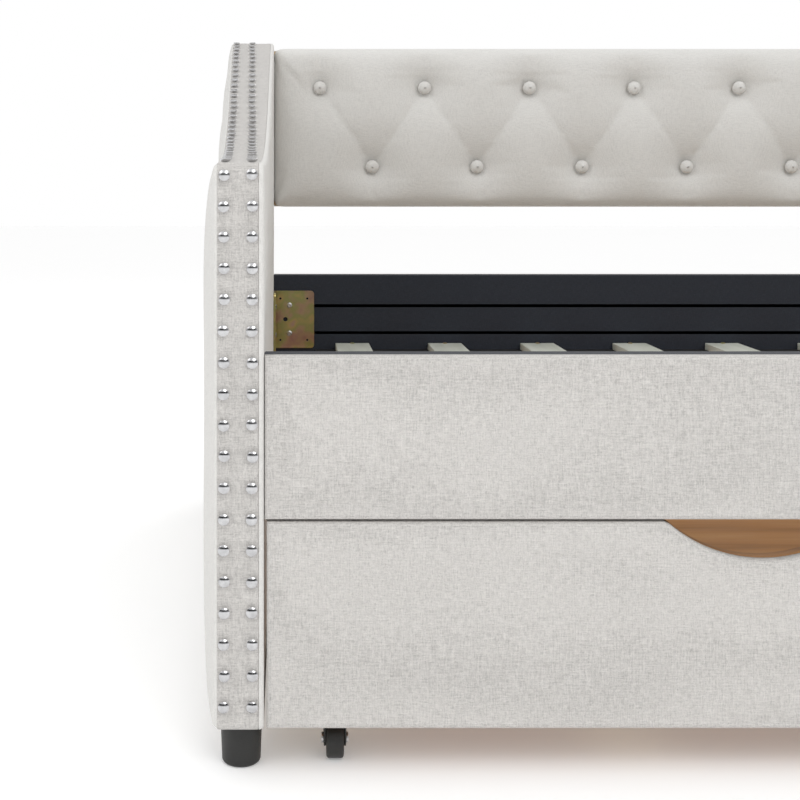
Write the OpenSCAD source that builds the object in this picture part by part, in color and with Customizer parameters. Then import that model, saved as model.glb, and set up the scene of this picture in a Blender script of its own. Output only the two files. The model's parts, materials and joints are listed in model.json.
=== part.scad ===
// Upholstered daybed with a roll-out trundle. Two wave-topped arms, a tufted back panel, two rails
// and a slatted base stand on four legs; the trundle rolls out of the front on four fixed casters.
// Millimetres. +X runs along the bed, +Y to the back, +Z up. The origin is on the floor, at the
// middle of the bed's footprint.

/* [Bed] */
// Clear length between the arms, for a twin mattress
inner_len = 1928; // [1500:1:2200]
// Clear width between the front and rear rails
inner_w = 1000; // [800:1:1300]
// Height of the rails' lower edge above the floor
rail_z = 244; // [225:1:300]
// Height of a rail
rail_h = 158; // [130:1:220]
// Thickness of a rail's timber board
rail_board_t = 23; // [16:1:35]
// Thickness of a rail's padding and cover
rail_pad_t = 12; // [6:1:20]

/* [Arms] */
// Height of the arm's front end above the floor
arm_front_h = 588; // [530:1:680]
// Height of the arm's rear end above the floor
arm_rear_h = 816; // [750:1:950]
// Thickness of the arm across its front edge
arm_t = 45.5; // [44:0.5:80]
// How much thicker the arm is at its rear edge
arm_flare = 28; // [0:1:50]
// Thickness of the fabric and felt strip round the arm's edge
strip_t = 4; // [2:0.5:8]
// Thickness of the covered board on the arm's inner side
inner_cover_t = 5; // [3:0.5:8]
// How far the outer padding stands out from the edge strip
outer_pad_t = 12; // [8:1:25]
// Width of an arm post, front to back
post_w = 110; // [90:1:150]
// Height of the arm's bottom rail
arm_rail_h = 80; // [50:1:110]
// Depth of the curved rail under the wave
top_rail_h = 70; // [40:1:100]
// Radius of the arm's front top corner
front_corner_r = 14; // [12:1:30]
// Radius of the arm's rear top corner
rear_corner_r = 34; // [20:1:60]
// Slope of the wave where it meets the rear corner, in degrees
wave_end_slope = 14.5; // [5:0.5:22]

/* [Nailheads] */
// Diameter of a nailhead
nail_d = 11; // [7:0.5:12]
// Height of a nailhead
nail_h = 3.5; // [2:0.5:5]
// Distance from one nail to the next
nail_pitch = 30; // [18:0.5:45]
// Distance between the two rows
nail_row_gap = 27; // [18:0.5:28]

/* [Legs] */
// Height of a leg
leg_h = 41; // [30:1:60]
// Diameter of a leg at the top
leg_d = 41; // [30:1:44]
// Diameter of a leg at the floor
leg_foot_d = 38; // [26:1:40]
// Leg centre's distance from the arm's front or rear edge
leg_inset = 31; // [28:1:60]
// Diameter of the hanger bolt that holds a leg
leg_bolt_d = 8; // [6:1:10]

/* [Back panel] */
// Height of the back panel's lower edge above the floor
back_z = 524; // [480:1:560]
// Height of the back panel
back_h = 282; // [220:1:320]
// Thickness of the padding
back_pad_t = 44; // [30:1:70]
// Thickness of the panel's board
back_board_t = 18; // [15:1:25]
// Thickness of the cover on its rear side
back_cover_t = 3; // [2:0.5:5]
// Diameter of a covered button
button_d = 23.5; // [16:0.5:32]
// Distance from the panel's end to the first button
button_edge = 82; // [50:1:120]
// Distance from the panel's top or bottom edge to a row of buttons
button_row_edge = 71; // [45:1:90]

/* [Slatted base] */
// Width of a slat
slat_w = 60; // [40:1:80]
// Thickness of a slat
slat_t = 12; // [9:1:18]
// Height of the slats' top face above the rails' lower edge
slat_top = 37; // [32:1:60]
// Distance from the arm to the first slat
slat_edge = 110; // [85:1:150]
// Width of a ledger strip, front to back
ledger_w = 22; // [16:1:35]
// Height of a ledger strip
ledger_h = 20; // [12:1:20]

/* [Corner brackets] */
// Width of the flange on the rail
bracket_w = 72; // [55:1:80]
// Width of the flange on the arm
bracket_arm_w = 60; // [45:1:80]
// Height of a bracket
bracket_h = 102; // [70:1:104]
// Thickness of the steel
bracket_t = 2.5; // [2:0.5:4]

/* [Trundle] */
// Gap between the trundle and each arm
trundle_gap = 2.5; // [2:0.5:8]
// Gap between the trundle front and the rail above it
rail_gap = 2; // [1:0.5:8]
// Height of the trundle front's lower edge above the floor
trundle_z = 43; // [41:1:46]
// Thickness of the trundle front's padding and cover
front_pad_t = 12; // [6:1:20]
// Thickness of the trundle's front and back boards
front_board_t = 15; // [12:1:20]
// Height of the trundle's back board
trundle_back_h = 94; // [60:1:150]
// Thickness of a side rail
side_t = 18; // [15:1:25]
// Thickness of the deck boards
deck_t = 12; // [9:1:18]
// Thickness of a batten under the deck
batten_t = 24; // [18:1:30]
// Width of a batten
batten_w = 70; // [56:1:90]
// Width of a hand cut-out at the top edge
cut_w = 190; // [120:1:240]
// Depth of a hand cut-out
cut_d = 37; // [25:1:50]

/* [Casters] */
// Diameter of a wheel
wheel_d = 38; // [30:1:40]
// Width of a wheel
wheel_w = 17; // [14:1:24]
// Diameter of an axle
axle_d = 6; // [5:0.5:8]
// Wheel centre's distance from the end of the trundle
caster_edge = 67; // [56:1:90]
// Wheel centre's distance behind the board next to it
caster_inset = 12; // [12:1:20]
// Height of the battens' lower face above the floor, where the casters are screwed on
caster_h = 48; // [48:1:55]

/* [Hidden] */
slat_n = 11;
batten_n = 7;
button_n = 20;
wave_steps = 72;
corner_steps = 8;
$fn = 48;

hole_clear = 0.1;       // radial room round a screw, bolt or stud
axle_clear = 0.05;      // radial room of a wheel on its axle
wheel_side_clear = 0.5; // room between a wheel and each cheek
soft_clear = 0.5;       // room at the ends of a padded piece
board_margin = 3;       // a padded board stops this far inside its cover
pad_seat = 5;           // how deep the outer padding sits inside the edge strip
pad_edge = 2;           // the outer padding's edge stands back this far from the arm's outline
pad_crown = 7;          // its raised middle stands back this much more
ledger_clear = 3;       // gap from a bracket to the ledger's end
deck_joint = 1;         // gap between the two deck boards
wave_lead_front = 0.49; // the wave's level run from the front corner, as a share of the arm's depth
wave_lead_rear = 0.3;   // its straight run into the rear corner, as a share of the arm's depth

rail_t = rail_board_t + rail_pad_t;
half_len = inner_len / 2;
half_w = inner_w / 2;
front_y = -half_w - rail_t;
rear_y = half_w + rail_t;
arm_y0 = front_y;
arm_y1 = rear_y + nail_h;
arm_depth = arm_y1 - arm_y0;
arm_end = half_len + arm_t + arm_flare + outer_pad_t;
leg_x = half_len + arm_t / 2;

slat_z = rail_z + slat_top - slat_t;
ledger_z = slat_z - ledger_h;
slat_pitch = (inner_len - 2 * slat_edge - slat_w) / (slat_n - 1);
slat_end_clear = 5;
slat_len = inner_w - 2 * slat_end_clear;
slat_screw_d = 4;
slat_screw_len = 25;
slat_screw_head = 8;
slat_screw_head_h = 2;
slat_screw_y = half_w - ledger_w / 2;

bracket_below_top = 28; // a bracket stops this far below the rail's top edge
bracket_z = rail_z + rail_h - bracket_h - bracket_below_top;
bracket_lip = 3;
bracket_lip_h = 1.5;
bracket_corner_r = 6;
bracket_bolt_hole = 8;
bracket_hole_step = 7;  // the bolt hole stands this much nearer the fold than the screws
dimple_d = 4;
dimple_x = 12;          // a dimple's distance from the fold or the free edge
dimple_z = 14;          // its distance from the top or bottom edge
screw_d = 5;
screw_len = 25;
screw_head = 10;
screw_head_h = 3;
screw_side = 28;        // screw holes' distance from the fold
screw_spread = 50;      // distance between the two screws of one flange

back_y0 = rear_y - back_cover_t - back_board_t - back_pad_t;
back_board_y = back_y0 + back_pad_t;
button_h = 10;
button_sink = 12;
twine_d = 2;
stud_d = 8;
stud_len = 70;
stud_grip = stud_len / 2;

trundle_half = half_len - trundle_gap;
trundle_top = rail_z - rail_gap;
trundle_h = trundle_top - trundle_z;
board_y = front_y + front_pad_t;
deck_y0 = board_y + front_board_t;
deck_y1 = half_w - front_board_t;
deck_z = caster_h + batten_t;
deck_top = deck_z + deck_t;
cut_x = trundle_half / 2;
cut_r = (cut_w * cut_w / 4 + cut_d * cut_d) / (2 * cut_d);

wheel_r = wheel_d / 2;
cheek_t = 2;
plate_t = 2;
plate_w = 44;
plate_len = 60;
cheek_len = 24;
cheek_drop = 8;         // how far a cheek reaches below the axle
axle_head_d = 10;
axle_head_h = 2.2;
housing_w = wheel_w + 2 * (wheel_side_clear + cheek_t);
caster_screw_d = 4;
caster_screw_len = 20;
caster_screw_head = 8;
caster_screw_head_h = 2;
caster_screw_side = 8;  // a screw's distance from the plate's side
caster_screw_end = 14;  // its distance from the plate's far end
caster_x = trundle_half - caster_edge;
caster_y = [deck_y0 + caster_inset, deck_y1 - caster_inset];
batten_pitch = 2 * caster_x / (batten_n - 1);

linen = "#d8d5d1";
linen_smooth = "#ccc8c4";
lining = "#262c36";
timber = "#c9a878";
deck_wood = "#966c3e";
slat_paint = "#dee1d6";
black = "#1d1d1d";
zinc = "#a0905a";
steel = "#c8c8cc";

// ---- the arm's side outline, in Y and Z ----

// The wave is one Bezier curve from the front corner to the rear corner
wave_p0 = [arm_y0 + front_corner_r, arm_front_h];
wave_p3 = [
    arm_y1 - rear_corner_r * (1 + sin(wave_end_slope)),
    arm_rear_h - rear_corner_r * (1 - cos(wave_end_slope))
];
wave_p1 = wave_p0 + [wave_lead_front * arm_depth, 0];
wave_p2 = wave_p3 - wave_lead_rear * arm_depth * [cos(wave_end_slope), sin(wave_end_slope)];

function wave(u) =
    pow(1 - u, 3) * wave_p0 + 3 * pow(1 - u, 2) * u * wave_p1
    + 3 * (1 - u) * u * u * wave_p2 + pow(u, 3) * wave_p3;

function wave_heading(u) =
    3 * pow(1 - u, 2) * (wave_p1 - wave_p0) + 6 * (1 - u) * u * (wave_p2 - wave_p1)
    + 3 * u * u * (wave_p3 - wave_p2);

// Direction out of the arm, square to the wave
function wave_normal(u) = let (h = wave_heading(u) / norm(wave_heading(u))) [-h[1], h[0]];

function arc(centre, r, from, to) = [
    for (i = [0 : corner_steps])
        let (a = from + (to - from) * i / corner_steps) centre + r * [cos(a), sin(a)]
];

function arm_outline(inset) = concat(
    [[arm_y1 - inset, leg_h + inset], [arm_y0 + inset, leg_h + inset]],
    arc([arm_y0 + front_corner_r, arm_front_h - front_corner_r], front_corner_r - inset, 180, 90),
    [for (i = [1 : wave_steps - 1]) wave_point(i) - inset * wave_normal(i / wave_steps)],
    arc(
        [arm_y1 - rear_corner_r, arm_rear_h - rear_corner_r],
        rear_corner_r - inset, 90 + wave_end_slope, 0
    )
);

// The outline below a line that follows the wave, drop under it
function below_wave(drop) = concat(
    [[arm_y1, 0], [arm_y0, 0], [arm_y0, arm_front_h - drop]],
    [for (i = [0 : wave_steps]) wave_point(i) - [0, drop]],
    [[arm_y1, wave_p3[1] - drop]]
);

function wave_point(i) = wave(i / wave_steps);

// Length along the wave up to each step, for spacing the nails
wave_lengths = [
    for (i = 0, s = 0; i <= wave_steps; i = i + 1, s = s + norm(wave_point(i) - wave_point(i - 1)))
        [s, i / wave_steps]
];
wave_len = wave_lengths[wave_steps][0];

// Outer face of the edge strip at a place along the arm
function arm_outer_x(y) = half_len + arm_t + arm_flare * (y - arm_y0) / arm_depth;

// Middle of the two nail rows at a place along the arm: they follow the arm's outer edge
function nail_rows_x(y) = arm_outer_x(y) - arm_t / 2 + nail_rows_shift;

module extrude_along_x(length) {
    rotate([90, 0, 90]) linear_extrude(length) children();
}

// Part of the right arm between two faces that stand in and out from its inner and outer planes
module arm_layer(inset, from_inner, from_outer) {
    inner = half_len + from_inner;
    intersection() {
        extrude_along_x(2 * arm_end) polygon(arm_outline(inset));
        linear_extrude(2 * arm_rear_h) polygon([
            [inner, arm_y0], [arm_outer_x(arm_y0) + from_outer, arm_y0],
            [arm_outer_x(arm_y1) + from_outer, arm_y1], [inner, arm_y1]
        ]);
    }
}

// Part of the right arm that lies outside its edge strip
module arm_outer_layer(inset, from, to) {
    intersection() {
        extrude_along_x(2 * arm_end) polygon(arm_outline(inset));
        linear_extrude(2 * arm_rear_h) polygon([
            [arm_outer_x(arm_y0) + from, arm_y0], [arm_outer_x(arm_y0) + to, arm_y0],
            [arm_outer_x(arm_y1) + to, arm_y1], [arm_outer_x(arm_y1) + from, arm_y1]
        ]);
    }
}

// The space inside the covers that the timber frame takes
module arm_core() {
    arm_layer(strip_t, inner_cover_t, -pad_seat);
}

module below_top_rail() {
    extrude_along_x(2 * arm_end) polygon(below_wave(strip_t + top_rail_h));
}

module on_side(side) {
    if (side < 0) mirror([1, 0, 0]) children();
    else children();
}

// ---- fasteners ----

// A screw along +Z whose head rests on z = 0
module pan_screw(d, length, head_d, head_h) {
    translate([0, 0, -length]) cylinder(d = d, h = length);
    cylinder(d = head_d, h = head_h * 0.5);
    translate([0, 0, head_h * 0.5]) cylinder(d1 = head_d, d2 = head_d * 0.6, h = head_h * 0.5);
}

module bore(d, length) {
    cylinder(d = d + 2 * hole_clear, h = length);
}

// Places on the right arm's inner side, and on the rails, where a corner bracket is screwed on
module at_bracket_screws(rear) {
    y_sign = rear ? 1 : -1;
    for (dz = [-screw_spread / 2, screw_spread / 2]) {
        z = bracket_z + bracket_h / 2 + dz;
        translate([half_len - screw_side, y_sign * (half_w - bracket_t), z])
            rotate([y_sign * 90, 0, 0]) children();
        translate([half_len - bracket_t, y_sign * (half_w - screw_side), z])
            rotate([0, -90, 0]) children();
    }
}

module at_all_bracket_screws() {
    for (side = [-1, 1], rear = [false, true]) on_side(side) at_bracket_screws(rear) children();
}

module bracket_screw_bores() {
    at_all_bracket_screws() translate([0, 0, -screw_len - 1]) bore(screw_d, screw_len + 1);
}

module at_legs() {
    for (side = [-1, 1], y = [arm_y0 + leg_inset, arm_y1 - leg_inset])
        translate([side * leg_x, y, leg_h]) children();
}

leg_bolt_up = 40;
leg_bolt_down = 22;

module leg_bolt_bores() {
    at_legs() translate([0, 0, -leg_bolt_down - 1]) bore(leg_bolt_d, leg_bolt_down + leg_bolt_up + 2);
}

module at_back_studs() {
    for (side = [-1, 1], z = [back_z + button_row_edge, back_z + back_h - button_row_edge])
        on_side(side) translate([half_len - stud_grip, back_board_y + back_board_t / 2, z])
            rotate([0, 90, 0]) children();
}

module back_stud_bores() {
    at_back_studs() translate([0, 0, -1]) bore(stud_d, stud_len + 2);
}

// ---- arms ----

module arm_front_post(side) {
    color(timber) difference() {
        on_side(side) intersection() {
            arm_core();
            below_top_rail();
            translate([half_len, arm_y0, 0]) cube([arm_end, strip_t + post_w, arm_rear_h]);
        }
        leg_bolt_bores();
        bracket_screw_bores();
    }
}

module arm_rear_post(side) {
    color(timber) difference() {
        on_side(side) intersection() {
            arm_core();
            below_top_rail();
            translate([half_len, arm_y1 - strip_t - post_w, 0])
                cube([arm_end, strip_t + post_w, arm_rear_h]);
        }
        leg_bolt_bores();
        bracket_screw_bores();
        back_stud_bores();
    }
}

module arm_bottom_rail(side) {
    color(timber) on_side(side) intersection() {
        arm_core();
        translate([half_len, arm_y0 + strip_t + post_w, leg_h])
            cube([arm_end, arm_depth - 2 * (strip_t + post_w), strip_t + arm_rail_h]);
    }
}

module arm_top_rail(side) {
    color(timber) on_side(side) difference() {
        arm_core();
        below_top_rail();
    }
}

module arm_inner_cover(side) {
    color(linen) difference() {
        on_side(side) intersection() {
            arm_layer(strip_t, 0, 0);
            translate([half_len, arm_y0, 0]) cube([inner_cover_t, arm_depth, arm_rear_h]);
        }
        bracket_screw_bores();
        back_stud_bores();
    }
}

module arm_outer_pad(side) {
    color(linen) on_side(side) union() {
        arm_outer_layer(strip_t, -pad_seat, outer_pad_t / 2);
        arm_outer_layer(pad_edge, 0, outer_pad_t / 2);
        arm_outer_layer(pad_edge + pad_crown, 0, outer_pad_t);
    }
}

module arm_edge_strip(side) {
    color(linen) difference() {
        on_side(side) difference() {
            arm_layer(0, 0, 0);
            extrude_along_x(2 * arm_end) polygon(arm_outline(strip_t));
        }
        leg_bolt_bores();
    }
}

// A domed head standing on z = 0
module nailhead() {
    dome_r = (nail_d * nail_d / 4 + nail_h * nail_h) / (2 * nail_h);
    rotate_extrude() intersection() {
        translate([0, nail_h - dome_r]) circle(dome_r);
        square([nail_d / 2, nail_h]);
    }
}

nail_rows_shift = 2; // how far the rows sit outside the middle of the arm's front edge
nail_lift = 0.06;    // room under a flat head on the curved strip
nail_first_up = 25;  // the lowest nail's height above the arm's lower edge
nail_corner_up = 2;  // how far the nails may run up into the front corner
nail_bottom = leg_h + nail_first_up;
nail_top = arm_front_h - front_corner_r + nail_corner_up;
nail_front_n = floor((nail_top - nail_bottom) / nail_pitch) + 1;
nail_wave_start = nail_pitch / 2;
nail_wave_n = floor((wave_len - nail_wave_start) / nail_pitch) + 1;

module arm_nailheads(side) {
    color(steel) on_side(side) for (row = [-1, 1]) {
        for (i = [0 : nail_front_n - 1])
            translate([nail_rows_x(arm_y0) + row * nail_row_gap / 2, arm_y0, nail_bottom + i * nail_pitch])
                rotate([90, 0, 0]) nailhead();
        for (i = [0 : nail_wave_n - 1]) {
            u = lookup(nail_wave_start + i * nail_pitch, wave_lengths);
            n = wave_normal(u);
            p = wave(u) + nail_lift * n;
            translate([nail_rows_x(p[0]) + row * nail_row_gap / 2, p[0], p[1]])
                rotate([-atan2(n[0], n[1]), 0, 0]) nailhead();
        }
    }
}

// ---- legs ----

leg_edge_r = 4;

module leg(side, rear) {
    y = rear ? arm_y1 - leg_inset : arm_y0 + leg_inset;
    foot_r = leg_foot_d / 2;
    color(black) difference() {
        translate([side * leg_x, y, 0]) rotate_extrude() union() {
            polygon([[0, leg_edge_r], [foot_r, leg_edge_r], [leg_d / 2, leg_h], [0, leg_h]]);
            square([foot_r - leg_edge_r, leg_edge_r]);
            intersection() {
                translate([foot_r - leg_edge_r, leg_edge_r]) circle(leg_edge_r);
                translate([foot_r - leg_edge_r, 0]) square(leg_edge_r);
            }
        }
        leg_bolt_bores();
    }
}

module leg_bolts() {
    color(steel) at_legs() translate([0, 0, -leg_bolt_down])
        cylinder(d = leg_bolt_d, h = leg_bolt_down + leg_bolt_up);
}

// ---- back panel ----

module at_buttons() {
    pitch = (inner_len - 2 * button_edge) / (button_n - 1);
    for (i = [0 : button_n - 1])
        translate([
            button_edge - half_len + i * pitch,
            back_y0,
            i % 2 == 0 ? back_z + back_h - button_row_edge : back_z + button_row_edge
        ]) rotate([-90, 0, 0]) children();
}

module back_board() {
    color(timber) difference() {
        translate([-half_len, back_board_y, back_z + board_margin])
            cube([inner_len, back_board_t, back_h - 2 * board_margin]);
        at_buttons() bore(twine_d, back_pad_t + back_board_t + 1);
        back_stud_bores();
    }
}

module back_pad() {
    color(linen_smooth) difference() {
        translate([-half_len + soft_clear, back_y0, back_z])
            cube([inner_len - 2 * soft_clear, back_pad_t, back_h]);
        at_buttons() {
            translate([0, 0, -1]) cylinder(d = button_d + 2 * soft_clear, h = button_sink + 1);
            bore(twine_d, back_pad_t + 1);
        }
    }
}

// Domed heads in the padding's pockets, each on a length of tufting twine
module back_buttons() {
    dome_r = (button_d * button_d / 4 + button_h * button_h) / (2 * button_h);
    color(linen_smooth) at_buttons() union() {
        translate([0, 0, button_sink]) mirror([0, 0, 1]) rotate_extrude() intersection() {
            translate([0, button_h - dome_r]) circle(dome_r);
            square([button_d / 2, button_h]);
        }
        translate([0, 0, button_sink - 1])
            cylinder(d = twine_d, h = back_pad_t + back_board_t - button_sink + 1);
    }
}

module back_rear_cover() {
    color(linen) translate([-half_len + soft_clear, back_board_y + back_board_t, back_z])
        cube([inner_len - 2 * soft_clear, back_cover_t, back_h]);
}

module back_studs() {
    color(steel) at_back_studs() cylinder(d = stud_d, h = stud_len);
}

// ---- rails and slatted base ----

module rail_board(y) {
    color(lining) difference() {
        translate([-half_len, y, rail_z]) cube([inner_len, rail_board_t, rail_h]);
        bracket_screw_bores();
    }
}

module rail_pad(y) {
    color(linen) translate([-half_len + soft_clear, y, rail_z])
        cube([inner_len - 2 * soft_clear, rail_pad_t, rail_h]);
}

module ledger(y) {
    length = inner_len - 2 * (bracket_w + ledger_clear);
    color(black) difference() {
        translate([-length / 2, y, ledger_z]) cube([length, ledger_w, ledger_h]);
        slat_screw_bores();
    }
}

// One flange in the XZ plane, its fold on x = 0, with a raised lip on the other three edges
module bracket_flange(width) {
    module plate(inset) {
        r = bracket_corner_r - inset;
        translate([0, inset]) square([width - bracket_corner_r, bracket_h - 2 * inset]);
        translate([0, bracket_corner_r]) square([width - inset, bracket_h - 2 * bracket_corner_r]);
        for (z = [bracket_corner_r, bracket_h - bracket_corner_r])
            translate([width - bracket_corner_r, z]) circle(r);
    }
    rotate([90, 0, 0]) difference() {
        union() {
            linear_extrude(bracket_t) plate(0);
            linear_extrude(bracket_t + bracket_lip_h) difference() {
                plate(0);
                plate(bracket_lip);
            }
        }
        for (dz = [-screw_spread / 2, screw_spread / 2])
            translate([screw_side, bracket_h / 2 + dz, -1]) bore(screw_d, bracket_t + 2);
        translate([screw_side - bracket_hole_step, bracket_h / 2, -1])
            cylinder(d = bracket_bolt_hole, h = bracket_t + 2);
        for (x = [dimple_x, width - dimple_x], z = [dimple_z, bracket_h - dimple_z])
            translate([x, z, -1]) cylinder(d = dimple_d, h = bracket_t + 2);
    }
}

// Rear right bracket: one flange on the rear rail, the other on the arm
module corner_bracket() {
    translate([half_len, half_w, bracket_z]) {
        mirror([1, 0, 0]) bracket_flange(bracket_w);
        rotate([0, 0, -90]) bracket_flange(bracket_arm_w);
    }
}

module corner_brackets() {
    color(zinc) for (side = [-1, 1], flip = [0, 1])
        on_side(side) mirror([0, flip, 0]) corner_bracket();
}

module bracket_screws() {
    color(steel) at_all_bracket_screws() pan_screw(screw_d, screw_len, screw_head, screw_head_h);
}

function slat_x(i) = slat_edge + slat_w / 2 - half_len + i * slat_pitch;

module at_slat_screws() {
    for (i = [0 : slat_n - 1], y = [-slat_screw_y, slat_screw_y])
        translate([slat_x(i), y, slat_z + slat_t]) children();
}

module slat_screw_bores() {
    at_slat_screws() translate([0, 0, -slat_screw_len - 1]) bore(slat_screw_d, slat_screw_len + 2);
}

module slat(i) {
    color(slat_paint) difference() {
        translate([slat_x(i) - slat_w / 2, -slat_len / 2, slat_z]) cube([slat_w, slat_len, slat_t]);
        slat_screw_bores();
    }
}

module slat_screws() {
    color(zinc) at_slat_screws()
        pan_screw(slat_screw_d, slat_screw_len, slat_screw_head, slat_screw_head_h);
}

// ---- trundle ----

module cut_outs() {
    for (side = [-1, 1])
        translate([side * cut_x, front_y - 1, trundle_top - cut_d + cut_r])
            rotate([-90, 0, 0]) cylinder(r = cut_r, h = front_pad_t + front_board_t + 2, $fn = 96);
}

module trundle_front_board() {
    color(deck_wood) difference() {
        translate([-trundle_half + board_margin, board_y, trundle_z + board_margin])
            cube([2 * (trundle_half - board_margin), front_board_t, trundle_h - 2 * board_margin]);
        cut_outs();
    }
}

module trundle_front_pad() {
    color(linen) difference() {
        translate([-trundle_half, front_y, trundle_z]) cube([2 * trundle_half, front_pad_t, trundle_h]);
        cut_outs();
    }
}

module trundle_back_board() {
    color(timber) translate([-trundle_half, deck_y1, trundle_z + board_margin])
        cube([2 * trundle_half, front_board_t, trundle_back_h]);
}

module trundle_side(side) {
    color(timber) on_side(side) translate([trundle_half - side_t, deck_y0, caster_h])
        cube([side_t, deck_y1 - deck_y0, deck_top - caster_h]);
}

module trundle_deck() {
    board_l = trundle_half - side_t - deck_joint / 2;
    color(deck_wood) for (side = [-1, 1]) on_side(side)
        translate([deck_joint / 2, deck_y0, deck_z]) cube([board_l, deck_y1 - deck_y0, deck_t]);
}

module trundle_battens() {
    color(timber) difference() {
        for (i = [0 : batten_n - 1])
            translate([i * batten_pitch - caster_x - batten_w / 2, deck_y0, caster_h])
                cube([batten_w, deck_y1 - deck_y0, batten_t]);
        at_caster_screws() translate([0, 0, -caster_screw_len - 1])
            bore(caster_screw_d, caster_screw_len + 1);
    }
}

// ---- casters ----

// Each caster's place, turned so that +Y points to the middle of the trundle
module at_caster(side, rear) {
    translate([side * caster_x, caster_y[rear ? 1 : 0], 0]) mirror([0, rear ? 1 : 0, 0]) children();
}

module at_casters() {
    for (side = [-1, 1], rear = [false, true]) at_caster(side, rear) children();
}

// Screw heads point down, under the caster's plate
module at_caster_screws() {
    x = plate_w / 2 - caster_screw_side;
    for (dx = [-x, x])
        at_casters() translate([dx, plate_len - caster_inset - caster_screw_end, caster_h - plate_t])
            rotate([180, 0, 0]) children();
}

module caster_housings() {
    cheek_x = wheel_w / 2 + wheel_side_clear;
    color(black) difference() {
        at_casters() difference() {
            union() {
                translate([-plate_w / 2, -caster_inset, caster_h - plate_t])
                    cube([plate_w, plate_len, plate_t]);
                for (x = [-cheek_x - cheek_t, cheek_x]) {
                    translate([x, -caster_inset, wheel_r])
                        cube([cheek_t, cheek_len, caster_h - plate_t - wheel_r]);
                    translate([x, 0, wheel_r]) rotate([0, 90, 0]) cylinder(r = cheek_drop, h = cheek_t);
                }
            }
            translate([-housing_w / 2 - 1, 0, wheel_r]) rotate([0, 90, 0]) bore(axle_d, housing_w + 2);
        }
        at_caster_screws() translate([0, 0, -plate_t - 1]) bore(caster_screw_d, plate_t + 2);
    }
}

module caster_axles() {
    color(steel) at_casters() translate([0, 0, wheel_r]) rotate([0, 90, 0]) {
        translate([0, 0, -housing_w / 2]) cylinder(d = axle_d, h = housing_w);
        for (z = [-housing_w / 2 - axle_head_h, housing_w / 2])
            translate([0, 0, z]) cylinder(d = axle_head_d, h = axle_head_h);
    }
}

module caster_screws() {
    color(steel) at_caster_screws()
        pan_screw(caster_screw_d, caster_screw_len, caster_screw_head, caster_screw_head_h);
}

module caster_wheel(side, rear) {
    edge_r = 2.5;
    flat_w = wheel_w / 2 - edge_r;
    color(black) at_caster(side, rear) translate([0, 0, wheel_r]) rotate([0, 90, 0])
        rotate_extrude() difference() {
            union() {
                translate([0, -wheel_w / 2]) square([wheel_r - edge_r, wheel_w]);
                translate([0, -flat_w]) square([wheel_r, 2 * flat_w]);
                for (z = [-flat_w, flat_w]) translate([wheel_r - edge_r, z]) circle(edge_r);
            }
            translate([0, -wheel_w]) square([axle_d / 2 + axle_clear, 2 * wheel_w]);
        }
}

arm_front_post(-1);  // left_arm_front_post
arm_rear_post(-1);  // left_arm_rear_post
arm_bottom_rail(-1);  // left_arm_bottom_rail
arm_top_rail(-1);  // left_arm_top_rail
arm_inner_cover(-1);  // left_arm_inner_cover
arm_outer_pad(-1);  // left_arm_outer_pad
arm_edge_strip(-1);  // left_arm_edge_strip
arm_nailheads(-1);  // left_arm_nailheads
arm_front_post(1);  // right_arm_front_post
arm_rear_post(1);  // right_arm_rear_post
arm_bottom_rail(1);  // right_arm_bottom_rail
arm_top_rail(1);  // right_arm_top_rail
arm_inner_cover(1);  // right_arm_inner_cover
arm_outer_pad(1);  // right_arm_outer_pad
arm_edge_strip(1);  // right_arm_edge_strip
arm_nailheads(1);  // right_arm_nailheads
leg(-1, false);  // leg_front_left
leg(1, false);  // leg_front_right
leg(-1, true);  // leg_rear_left
leg(1, true);  // leg_rear_right
leg_bolts();
back_board();
back_pad();
back_buttons();
back_rear_cover();
back_studs();
rail_board(-half_w - rail_board_t);  // front_rail_board
rail_pad(front_y);  // front_rail_pad
rail_board(half_w);  // rear_rail_board
rail_pad(rear_y - rail_pad_t);  // rear_rail_pad
ledger(-half_w);  // front_ledger
ledger(half_w - ledger_w);  // rear_ledger
corner_brackets();
bracket_screws();
slat(0);  // slat_01
slat(1);  // slat_02
slat(2);  // slat_03
slat(3);  // slat_04
slat(4);  // slat_05
slat(5);  // slat_06
slat(6);  // slat_07
slat(7);  // slat_08
slat(8);  // slat_09
slat(9);  // slat_10
slat(10);  // slat_11
slat_screws();
trundle_front_board();
trundle_front_pad();
trundle_back_board();
trundle_side(-1);  // trundle_left_side
trundle_side(1);  // trundle_right_side
trundle_deck();
trundle_battens();
caster_housings();
caster_axles();
caster_screws();
caster_wheel(-1, false);  // caster_wheel_front_left
caster_wheel(1, false);  // caster_wheel_front_right
caster_wheel(-1, true);  // caster_wheel_rear_left
caster_wheel(1, true);  // caster_wheel_rear_right
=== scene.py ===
import json
import math
import random
import bmesh
import bpy
import numpy as np
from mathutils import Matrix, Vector
from mathutils.geometry import delaunay_2d_cdt


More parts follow.
